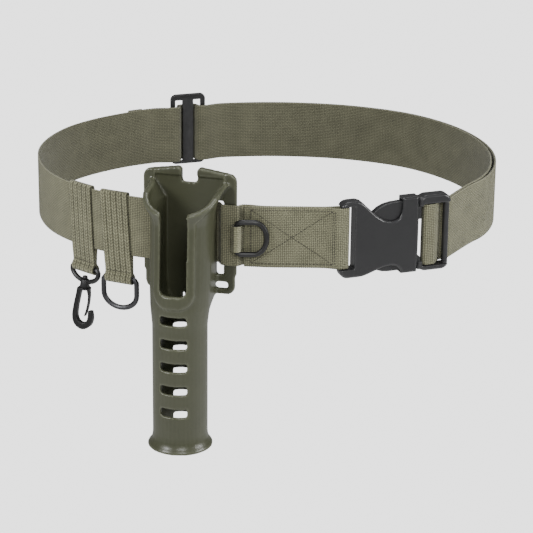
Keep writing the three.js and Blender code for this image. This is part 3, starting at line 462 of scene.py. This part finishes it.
def normals_of(path, closed=False):
    """Unit vectors square to a plan path, to its right."""
    ahead = np.roll(path, -1, axis=0) - np.roll(path, 1, axis=0)
    if not closed:
        ahead[0], ahead[-1] = path[1] - path[0], path[-1] - path[-2]
    ahead /= np.linalg.norm(ahead, axis=1)[:, None]
    return np.column_stack([ahead[:, 1], -ahead[:, 0]])


# Node groups


def group(name, inputs, outputs):
    tree = bpy.data.node_groups.new(name, "ShaderNodeTree")
    for label, kind in inputs:
        tree.interface.new_socket(label, in_out="INPUT", socket_type=kind)
    for label, kind in outputs:
        tree.interface.new_socket(label, in_out="OUTPUT", socket_type=kind)
    return tree, tree.nodes.new("NodeGroupInput"), tree.nodes.new("NodeGroupOutput")


def maths(tree, operation, *values):
    node = tree.nodes.new("ShaderNodeMath")
    node.operation = operation
    for i, value in enumerate(values):
        if isinstance(value, (int, float)):
            node.inputs[i].default_value = value
        else:
            tree.links.new(value, node.inputs[i])
    return node.outputs[0]


def mixed(tree, share, first, second):
    node = tree.nodes.new("ShaderNodeMix")
    node.data_type = "RGBA"
    for socket, value in zip((node.inputs[0], node.inputs[6], node.inputs[7]), (share, first, second)):
        if hasattr(value, "is_output"):
            tree.links.new(value, socket)
        else:
            socket.default_value = value
    return node.outputs[2]


def noise(tree, vector, scale, detail=3, roughness=0.5):
    node = tree.nodes.new("ShaderNodeTexNoise")
    node.inputs["Scale"].default_value = scale
    node.inputs["Detail"].default_value = detail
    node.inputs["Roughness"].default_value = roughness
    tree.links.new(vector, node.inputs["Vector"])
    return node.outputs["Fac"]


def roughened(tree, value, waves, share):
    """The value with a share of a noise added, which goes both up and down."""
    centred = maths(tree, "SUBTRACT", waves, 0.5)
    return maths(tree, "ADD", value, maths(tree, "MULTIPLY", centred, share))


def weave_group():
    """Rows of yarn with a float in each pick. Slant tilts the picks of a row one way and those of the
    next row the other way, Long joins the picks to rows that run on, and Columns parts each pair of
    rows from the next. The colour follows the height as painted shade: dark in the hollows between the
    yarns and light on their tops, with random tone from the noise."""
    floats = "NodeSocketFloat"
    tree, given, result = group(
        "Webbing weave",
        [
            ("Along and across", "NodeSocketVector"),
            ("Row", floats),
            ("Pick", floats),
            ("Slant", floats),
            ("Long", floats),
            ("Columns", floats),
            ("Light", "NodeSocketColor"),
            ("Dark", "NodeSocketColor"),
        ],
        [("Colour", "NodeSocketColor"), ("Height", floats)],
    )
    split = tree.nodes.new("ShaderNodeSeparateXYZ")
    tree.links.new(given.outputs[0], split.inputs[0])
    across = maths(tree, "DIVIDE", split.outputs[1], given.outputs["Row"])
    row = maths(tree, "FLOOR", across)
    within = maths(tree, "FRACT", across)
    even = maths(tree, "MODULO", maths(tree, "ABSOLUTE", row), 2)
    side = maths(tree, "SUBTRACT", maths(tree, "MULTIPLY", even, 2), 1)
    tilt = maths(tree, "MULTIPLY", maths(tree, "MULTIPLY", within, side), given.outputs["Slant"])
    along = maths(tree, "ADD", maths(tree, "DIVIDE", split.outputs[0], given.outputs["Pick"]), tilt)
    odd = maths(tree, "MODULO", maths(tree, "ABSOLUTE", maths(tree, "FLOOR", along)), 2)
    over = maths(tree, "ABSOLUTE", maths(tree, "SUBTRACT", odd, even))
    wave = maths(tree, "ABSOLUTE", maths(tree, "SINE", maths(tree, "MULTIPLY", along, math.pi)))
    pick = maths(tree, "MAXIMUM", maths(tree, "POWER", wave, FULLNESS), given.outputs["Long"])
    ridge = maths(tree, "SINE", maths(tree, "MULTIPLY", within, math.pi))
    rib = maths(tree, "POWER", ridge, FULLNESS)
    pairs = maths(tree, "COSINE", maths(tree, "MULTIPLY", across, math.pi / 2))
    parting = maths(tree, "MULTIPLY", given.outputs["Columns"], COLUMN_SHARE)
    column = maths(tree, "POWER", maths(tree, "ABSOLUTE", pairs), parting)
    level = maths(tree, "ADD", UNDER, maths(tree, "MULTIPLY", over, 1 - UNDER))
    raised = maths(tree, "MULTIPLY", level, column)
    yarn = maths(tree, "MULTIPLY", maths(tree, "MULTIPLY", pick, rib), raised)
    height = roughened(tree, yarn, noise(tree, given.outputs[0], FIBRE_SCALE, 2), FIBRE_SHARE)
    varied = roughened(tree, height, noise(tree, given.outputs[0], CLOUD_SCALE, 3), CLOUD_SHARE)
    share = tree.nodes.new("ShaderNodeClamp")
    tree.links.new(varied, share.inputs[0])
    # Painted shade: low places of the weave take the dark colour and raised yarn the light one, with
    # random tone from the noise.
    colour = mixed(tree, share.outputs[0], given.outputs["Dark"], given.outputs["Light"])
    tree.links.new(colour, result.inputs[0])
    tree.links.new(height, result.inputs[1])
    return tree


def moulded_group():
    """Moulded plastic or cast metal: fine grain, faint stains and paler edges, which are partly wear
    and partly a painted highlight along the rims.
    """
    floats = "NodeSocketFloat"
    tree, given, result = group(
        "Moulded surface",
        [
            ("Position", "NodeSocketVector"),
            ("Wear and highlight", floats),
            ("Colour", "NodeSocketColor"),
            ("Worn and highlit", "NodeSocketColor"),
            ("Roughness", floats),
        ],
        [("Colour", "NodeSocketColor"), ("Roughness", floats), ("Height", floats)],
    )
    grain = noise(tree, given.outputs[0], GRAIN_SCALE, 2, 0.6)
    stain = noise(tree, given.outputs[0], STAIN_SCALE, 4, 0.55)
    scuff = noise(tree, given.outputs[0], SCUFF_SCALE, 3, 0.6)
    # Painted highlight and wear: edges that turn out go paler where the scuff noise lets them.
    worn_and_highlit = maths(tree, "MULTIPLY", given.outputs["Wear and highlight"], maths(tree, "MULTIPLY", scuff, SCUFF_GAIN))
    share = tree.nodes.new("ShaderNodeClamp")
    tree.links.new(worn_and_highlit, share.inputs[0])
    lift = maths(tree, "ADD", STAIN_LOW, maths(tree, "MULTIPLY", stain, STAIN_RANGE))
    bright = tree.nodes.new("ShaderNodeVectorMath")
    bright.operation = "SCALE"
    tree.links.new(given.outputs["Colour"], bright.inputs[0])
    tree.links.new(lift, bright.inputs[3])
    colour = mixed(tree, share.outputs[0], bright.outputs[0], given.outputs["Worn and highlit"])
    rough = roughened(tree, given.outputs["Roughness"], scuff, SCUFF_ROUGHNESS)
    tree.links.new(colour, result.inputs[0])
    tree.links.new(rough, result.inputs[1])
    tree.links.new(grain, result.inputs[2])
    return tree


# Materials


def new_material(name):
    material = bpy.data.materials.new(name)
    material.use_nodes = True
    tree = material.node_tree
    return material, tree, tree.nodes["Principled BSDF"]


def add_bump(tree, surface, height, relief):
    strength, distance = relief
    bump = tree.nodes.new("ShaderNodeBump")
    bump.inputs["Strength"].default_value = strength
    bump.inputs["Distance"].default_value = distance
    tree.links.new(height, bump.inputs["Height"])
    tree.links.new(bump.outputs[0], surface.inputs["Normal"])


def webbing_material(
    name, weave, slant=0.0, row=None, pick=None, brightness=1.0, waist_side_shade=0.0, columns=0.0
):
    """Webbing. On the side that faces the waist it paints shade, mixing the colour towards black by the
    given share, and joins the picks to long rows.
    """
    settings = bpy.context.scene.belt_webbing_settings
    material, tree, surface = new_material(name)
    lay = tree.nodes.new("ShaderNodeUVMap")
    lay.uv_map = "strap"
    cloth = tree.nodes.new("ShaderNodeGroup")
    cloth.node_tree = weave
    tree.links.new(lay.outputs[0], cloth.inputs[0])
    cloth.inputs["Row"].default_value = row or settings.row
    cloth.inputs["Pick"].default_value = pick or settings.pick
    cloth.inputs["Slant"].default_value = slant
    cloth.inputs["Columns"].default_value = columns
    cloth.inputs["Light"].default_value = [c * brightness for c in settings.light[:3]] + [1]
    cloth.inputs["Dark"].default_value = [c * brightness for c in settings.dark[:3]] + [1]
    colour = cloth.outputs["Colour"]
    if waist_side_shade:
        facing = tree.nodes.new("ShaderNodeAttribute")
        facing.attribute_name = "waist_side_shade"
        # Painted shade: the side that faces the waist is mixed towards black.
        share = maths(tree, "MULTIPLY", facing.outputs["Fac"], waist_side_shade)
        colour = mixed(tree, share, colour, (0, 0, 0, 1))
        long = maths(tree, "MULTIPLY", facing.outputs["Fac"], INSIDE_LONG)
        tree.links.new(long, cloth.inputs["Long"])
    tree.links.new(colour, surface.inputs["Base Color"])
    for label, value in CLOTH.items():
        surface.inputs[label].default_value = value
    add_bump(tree, surface, cloth.outputs["Height"], CLOTH_RELIEF)
    return material


def moulded_material(name, moulded, colour, worn_and_highlit, roughness, metallic=0.0):
    material, tree, surface = new_material(name)
    place = tree.nodes.new("ShaderNodeTexCoord")
    # The mask for the paler edges: wear and painted highlight.
    wear_and_highlight = tree.nodes.new("ShaderNodeAttribute")
    wear_and_highlight.attribute_name = "wear_and_highlight"
    skin = tree.nodes.new("ShaderNodeGroup")
    skin.node_tree = moulded
    tree.links.new(place.outputs["Object"], skin.inputs["Position"])
    tree.links.new(wear_and_highlight.outputs["Fac"], skin.inputs["Wear and highlight"])
    skin.inputs["Colour"].default_value = colour
    skin.inputs["Worn and highlit"].default_value = worn_and_highlit
    skin.inputs["Roughness"].default_value = roughness
    tree.links.new(skin.outputs["Colour"], surface.inputs["Base Color"])
    tree.links.new(skin.outputs["Roughness"], surface.inputs["Roughness"])
    surface.inputs["Metallic"].default_value = metallic
    add_bump(tree, surface, skin.outputs["Height"], GRAIN_RELIEF)
    return material


MATERIALS = {}


def make_materials():
    weave, moulded = weave_group(), moulded_group()
    plastic = bpy.context.scene.belt_plastic_settings
    MATERIALS["belt"] = webbing_material("belt_weave", weave, waist_side_shade=0.5)
    MATERIALS["loop"] = webbing_material(
        "loop_weave",
        weave,
        slant=0.9,
        row=2.4 * MM,
        pick=2.5 * MM,
        brightness=1.12,
        waist_side_shade=0.4,
        columns=0.7,
    )
    MATERIALS["tab"] = webbing_material("tab_weave", weave, row=1.5 * MM, brightness=1.5)
    for name, colour, worn_and_highlit, roughness in (
        ("olive", plastic.olive, OLIVE_WEAR_AND_HIGHLIGHT, 0.33),
        ("black", plastic.black, BLACK_WEAR_AND_HIGHLIGHT, 0.34),
        ("dark", plastic.ring, RING_WEAR_AND_HIGHLIGHT, 0.42),
        ("thread", THREAD, THREAD_WEAR_AND_HIGHLIGHT, 0.85),
    ):
        MATERIALS[name] = moulded_material(name + "_skin", moulded, colour, worn_and_highlit, roughness)
    MATERIALS["gunmetal"] = moulded_material(
        "gunmetal_skin", moulded, GUNMETAL, GUNMETAL_WEAR_AND_HIGHLIGHT, 0.4, metallic=0.9
    )


# Hard pieces


def mark_wear_and_highlight(piece, reach):
    """A vertex attribute: 1 on edges that turn out by reach degrees, 0 on flat or hollow places. It
    marks where edges are painted paler, partly as wear and partly as a painted highlight.
    """
    work = bmesh.new()
    work.from_mesh(piece.data)
    values = []
    for vert in work.verts:
        turns = [e.calc_face_angle_signed(0) for e in vert.link_edges if e.is_manifold]
        values.append(min(1, max(0, max(turns, default=0)) / math.radians(reach)))
    work.free()
    layer = piece.data.attributes.new("wear_and_highlight", "FLOAT", "POINT")
    layer.data.foreach_set("value", values)


def round_edges(piece, width, sharp, crease):
    """Rounds the edges that turn by more than sharp, and shades smooth those under crease."""
    activate(piece)
    rounding = piece.modifiers.new("rounding", "BEVEL")
    rounding.width = width
    rounding.segments = 2
    rounding.limit_method = "ANGLE"
    rounding.angle_limit = math.radians(sharp)
    rounding.use_clamp_overlap = True
    bpy.ops.object.modifier_apply(modifier="rounding")
    bpy.ops.object.shade_smooth_by_angle(angle=math.radians(crease))


def hard_piece(node, material, edge):
    """A copy of a CAD node with its edges rounded."""
    work = merged(node)
    flat = math.radians(FLAT)
    bmesh.ops.dissolve_limit(
        work, angle_limit=flat, verts=work.verts, edges=work.edges, delimit={"NORMAL"}
    )
    piece = to_piece(work, node + "_skin")
    round_edges(piece, edge, SHARP, CREASE)
    mark_wear_and_highlight(piece, EDGE_WEAR_AND_HIGHLIGHT)
    return mount(piece, node, material)


def moulded_piece(node, material):
    """A copy of a CAD node in small even faces, smoothed until all its edges are rounded."""
    grain, passes = MOULDED[node]
    piece = to_piece(merged(node), node + "_skin")
    activate(piece)
    even = piece.modifiers.new("even", "REMESH")
    even.mode = "VOXEL"
    even.voxel_size = grain
    bpy.ops.object.modifier_apply(modifier="even")
    soften = piece.modifiers.new("soften", "SMOOTH")
    soften.factor = 0.5
    soften.iterations = passes
    bpy.ops.object.modifier_apply(modifier="soften")
    bpy.ops.object.shade_smooth()
    mark_wear_and_highlight(piece, MOULDED_WEAR_AND_HIGHLIGHT)
    return mount(piece, node, material)


# Operators


class FIGHTINGBELT_OT_belt(bpy.types.Operator):
    """Lay the belt's webbing as one long strap"""

    bl_idname = "fightingbelt.belt"
    bl_label = "Belt webbing"

    def execute(self, context):
        pick = context.scene.belt_webbing_settings.pick
        path, length = resample(belt_rows(), pick / STEPS_PER_PICK)
        out = normals_of(path[:, :2])
        up = Vector((0, 0, 1))
        stations = [
            (Vector((x, y, z - BELT_HALF)), up, Vector((*side, 0)))
            for (x, y, z), side in zip(path, out)
        ]
        section = profile(BELT_HALF, BELT_THICKNESS, BELT_SPANS)
        strap = strap_mesh("belt_strap", stations, section, length, False, BELT_SCALLOP)
        mount(strap, "belt_webbing", MATERIALS["belt"])
        return {"FINISHED"}


class FIGHTINGBELT_OT_loops(bpy.types.Operator):
    """Hang the two webbing loops and the side ring's tab"""

    bl_idname = "fightingbelt.loops"
    bl_label = "Hanging loops and tab"

    def execute(self, context):
        pick = context.scene.belt_webbing_settings.pick
        for node, lean in hanger_leans():
            loop = hanger_rows(node, LOOP_THICKNESS)
            along, out, bow = loop[1], loop[2], loop[4]
            path, length = resample(loop[0], pick / STEPS_PER_PICK, closed=True)
            sides = normals_of(path, True)
            up = Vector((0, 0, 1))
            stations = [
                (hanger_point(loop, lean, 0, d, z), along, out * a + up * b)
                for (d, z), (a, b) in zip(path, sides)
            ]
            section = profile(LOOP_HALF, LOOP_THICKNESS, LOOP_SPANS)
            name = node + "_strap"
            strap = strap_mesh(name, stations, section, length, True, LOOP_SCALLOP, out * bow)
            mount(strap, node, MATERIALS["loop"])
        self.tab()
        return {"FINISHED"}

    def tab(self):
        """The tab's own solid with softened edges, laid out along X and up"""
        work = merged("d_ring_tab")
        layer = work.loops.layers.uv.new("strap")
        for face in work.faces:
            for loop in face.loops:
                loop[layer].uv = (loop.vert.co.x + loop.vert.co.y, loop.vert.co.z)
        piece = to_piece(work, "tab_strap")
        round_edges(piece, TAB_EDGE, TAB_SHARP, TAB_CREASE)
        mount(piece, "d_ring_tab", MATERIALS["tab"])


class FIGHTINGBELT_OT_stitches(bpy.types.Operator):
    """Sew the fold-back at the buckle and the two hanging loops"""

    bl_idname = "fightingbelt.stitches"
    bl_label = "Stitching"

    def execute(self, context):
        left, right, bottom, top = CROSS_BOX
        corners = [(left, bottom), (right, bottom), (right, top), (left, top)]
        lines = [(corners[i], corners[(i + 1) % 4]) for i in range(4)]
        lines += [(corners[0], corners[2]), (corners[1], corners[3])]
        lines.append(((right + SECOND_LINE, bottom), (right + SECOND_LINE, top)))
        path = belt_rows()[:, :2]
        stitches = []
        for (x0, z0), (x1, z1) in lines:
            for place, ahead in self.along((x0, z0), (x1, z1)):
                front, out, side = self.front(path, place[0])
                centre = Vector((place[0], front, place[1])) + out * CROSS_DEPTH
                stitches.append((centre, side * ahead[0] + Vector((0, 0, ahead[1])), out))
        self.sew("cross_stitches", stitches, "belt_webbing")
        for node, lean in hanger_leans():
            loop = hanger_rows(node, LOOP_THICKNESS)
            rows, along, out = loop[:3]
            low = rows[:, 1].min()
            stitches = []
            for height in BAR_HEIGHTS:
                ends = (-BAR_HALF, low + height), (BAR_HALF, low + height)
                for (across, z), _ in self.along(*ends):
                    depth = self.front_depth(rows, z) + BAR_DEPTH
                    stitches.append((hanger_point(loop, lean, across, depth, z), along, out))
            self.sew(node + "_stitches", stitches, node)
        return {"FINISHED"}

    def along(self, start, end):
        """Places of the stitches from start to end, each with the direction of the line"""
        start, end = np.array(start), np.array(end)
        length = np.linalg.norm(end - start)
        count = int(round(length / STITCH_PITCH))
        ahead = (end - start) / length
        return [(start + ahead * length * (i + 0.5) / count, ahead) for i in range(count)]

    def front(self, path, x):
        """The belt's frontmost layer at x: its middle, its outward direction and its line"""
        found = []
        for a, b in zip(path[:-1], path[1:]):
            if (a[0] - x) * (b[0] - x) <= 0 and a[0] != b[0] and a[1] < 0:
                share = (x - a[0]) / (b[0] - a[0])
                ahead = (b - a) / np.linalg.norm(b - a) * np.sign(b[0] - a[0])
                found.append((a[1] + share * (b[1] - a[1]), *ahead))
        y, ahead_x, ahead_y = min(found)
        return y, Vector((ahead_y, -ahead_x, 0)), Vector((ahead_x, ahead_y, 0))

    def front_depth(self, rows, z):
        """How far out the loop's front lies at a height"""
        found = []
        for a, b in zip(rows, np.roll(rows, -1, axis=0)):
            if (a[1] - z) * (b[1] - z) <= 0 and a[1] != b[1]:
                found.append(a[0] + (z - a[1]) / (b[1] - a[1]) * (b[0] - a[0]))
        return max(found)

    def sew(self, name, stitches, node):
        """One mesh of short threads, each a small pod that sinks into the webbing at its ends"""
        work = bmesh.new()
        long, wide, high = STITCH_SIZE
        for centre, ahead, out in stitches:
            side = out.cross(ahead).normalized()
            pod = bmesh.ops.create_uvsphere(work, u_segments=8, v_segments=5, radius=1)
            for vert in pod["verts"]:
                x, y, z = vert.co
                depth = y * high - STITCH_SINK * z * z
                vert.co = centre + ahead * z * long + side * x * wide + out * depth
        bmesh.ops.recalc_face_normals(work, faces=work.faces)
        for face in work.faces:
            face.smooth = True
        piece = to_piece(work, name)
        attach(piece, frame["nodes"][node]["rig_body"])
        piece.data.materials.append(MATERIALS["thread"])


class FIGHTINGBELT_OT_holder(bpy.types.Operator):
    """Mould the rod holder"""

    bl_idname = "fightingbelt.holder"
    bl_label = "Rod holder"

    def execute(self, context):
        moulded_piece("rod_holder", MATERIALS["olive"])
        return {"FINISHED"}


class FIGHTINGBELT_OT_buckle(bpy.types.Operator):
    """Mould the side-release buckle and the tri-glide"""

    bl_idname = "fightingbelt.buckle"
    bl_label = "Buckle and tri-glide"

    def execute(self, context):
        edge = context.scene.belt_plastic_settings.edge
        for node in ("buckle_female", "buckle_male"):
            moulded_piece(node, MATERIALS["black"])
        hard_piece("tri_glide", MATERIALS["dark"], edge)
        return {"FINISHED"}


class FIGHTINGBELT_OT_fittings(bpy.types.Operator):
    """Finish the D-rings, the eye and the swivel hook"""

    bl_idname = "fightingbelt.fittings"
    bl_label = "Rings and hook"

    def execute(self, context):
        edge = context.scene.belt_plastic_settings.edge / 2
        moulded_piece("snap_hook", MATERIALS["dark"])
        hard_piece("snap_eye", MATERIALS["dark"], edge)
        hard_piece("d_ring_side", MATERIALS["dark"], edge)
        hard_piece("d_ring_hanging", MATERIALS["gunmetal"], edge)
        return {"FINISHED"}


class FIGHTINGBELT_OT_stage(bpy.types.Operator):
    """Set up the floor, the lights and the camera"""

    bl_idname = "fightingbelt.stage"
    bl_label = "Stage"

    def execute(self, context):
        settings = context.scene.belt_stage_settings
        deselect()
        bpy.ops.mesh.primitive_plane_add(size=FLOOR_SIZE, location=(0, 0, settings.drop))
        floor = context.active_object
        floor.name = "floor"
        paper, tree, surface = new_material("paper")
        surface.inputs["Base Color"].default_value = PAPER
        surface.inputs["Roughness"].default_value = PAPER_ROUGHNESS
        bright = tree.nodes.new("ShaderNodeEmission")
        bright.inputs["Strength"].default_value = settings.white
        self.seen_white(tree, surface.outputs[0], bright, tree.nodes["Material Output"])
        floor.data.materials.append(paper)
        world = bpy.data.worlds.new("studio")
        world.use_nodes = True
        tree = world.node_tree
        dim = tree.nodes["Background"]
        dim.inputs["Color"].default_value = (1, 1, 1, 1)
        dim.inputs["Strength"].default_value = settings.ambient
        bright = tree.nodes.new("ShaderNodeBackground")
        bright.inputs["Color"].default_value = (1, 1, 1, 1)
        bright.inputs["Strength"].default_value = settings.white
        self.seen_white(tree, dim.outputs[0], bright, tree.nodes["World Output"])
        context.scene.world = world
        for name, (place, power, size) in LAMPS.items():
            self.lamp(name, place, power, size)
        self.camera(settings)
        return {"FINISHED"}

    def seen_white(self, tree, light, bright, output):
        """The camera sees plain white there, and the object is lit by the other shader"""
        path = tree.nodes.new("ShaderNodeLightPath")
        either = tree.nodes.new("ShaderNodeMixShader")
        tree.links.new(path.outputs["Is Camera Ray"], either.inputs[0])
        tree.links.new(light, either.inputs[1])
        tree.links.new(bright.outputs[0], either.inputs[2])
        tree.links.new(either.outputs[0], output.inputs["Surface"])

    def lamp(self, name, place, power, size):
        data = bpy.data.lights.new(name, "AREA")
        data.energy = power
        data.shape = "DISK"
        data.size = size
        lamp = bpy.data.objects.new(name, data)
        bpy.context.scene.collection.objects.link(lamp)
        lamp.location = place
        lamp.rotation_euler = (AIM - Vector(place)).to_track_quat("-Z", "Y").to_euler()

    def camera(self, settings):
        data = bpy.data.cameras.new("camera")
        data.lens = settings.lens
        data.sensor_width = SENSOR
        data.clip_end = FARTHEST
        camera = bpy.data.objects.new("camera", data)
        bpy.context.scene.collection.objects.link(camera)
        ahead = (TARGET - EYE).normalized()
        right = ahead.cross(Vector((0, 0, 1))).normalized()
        up = right.cross(ahead)
        roll = math.radians(ROLL)
        turned_right = right * math.cos(roll) + up * math.sin(roll)
        turned_up = up * math.cos(roll) - right * math.sin(roll)
        axes = Matrix((turned_right, turned_up, -ahead)).transposed().to_4x4()
        camera.matrix_world = Matrix.Translation(EYE) @ axes
        bpy.context.scene.camera = camera


class FIGHTINGBELT_PT_panel(bpy.types.Panel):
    """The belt's pieces and settings"""

    bl_idname = "FIGHTINGBELT_PT_panel"
    bl_label = "Fighting Belt"
    bl_space_type = "VIEW_3D"
    bl_region_type = "UI"
    bl_category = "Fighting Belt"

    def draw(self, context):
        for settings in SETTINGS:
            group_of = getattr(context.scene, settings)
            for name in group_of.__annotations__:
                self.layout.prop(group_of, name)
        for operator in OPERATORS:
            self.layout.operator(operator.bl_idname)


SETTINGS = {
    "belt_webbing_settings": WebbingSettings,
    "belt_plastic_settings": PlasticSettings,
    "belt_stage_settings": StageSettings,
}
OPERATORS = (
    FIGHTINGBELT_OT_stage,
    FIGHTINGBELT_OT_belt,
    FIGHTINGBELT_OT_loops,
    FIGHTINGBELT_OT_stitches,
    FIGHTINGBELT_OT_holder,
    FIGHTINGBELT_OT_buckle,
    FIGHTINGBELT_OT_fittings,
)
CLASSES = (*SETTINGS.values(), *OPERATORS, FIGHTINGBELT_PT_panel)


def register():
    for item in CLASSES:
        bpy.utils.register_class(item)
    for name, settings in SETTINGS.items():
        setattr(bpy.types.Scene, name, bpy.props.PointerProperty(type=settings))


def unregister():
    for name in SETTINGS:
        delattr(bpy.types.Scene, name)
    for item in reversed(CLASSES):
        bpy.utils.unregister_class(item)


def main():
    register()
    make_materials()
    bpy.ops.fightingbelt.stage()
    bpy.ops.fightingbelt.belt()
    bpy.ops.fightingbelt.loops()
    bpy.ops.fightingbelt.stitches()
    bpy.ops.fightingbelt.holder()
    bpy.ops.fightingbelt.buckle()
    bpy.ops.fightingbelt.fittings()


if __name__ == "__main__":
    main()
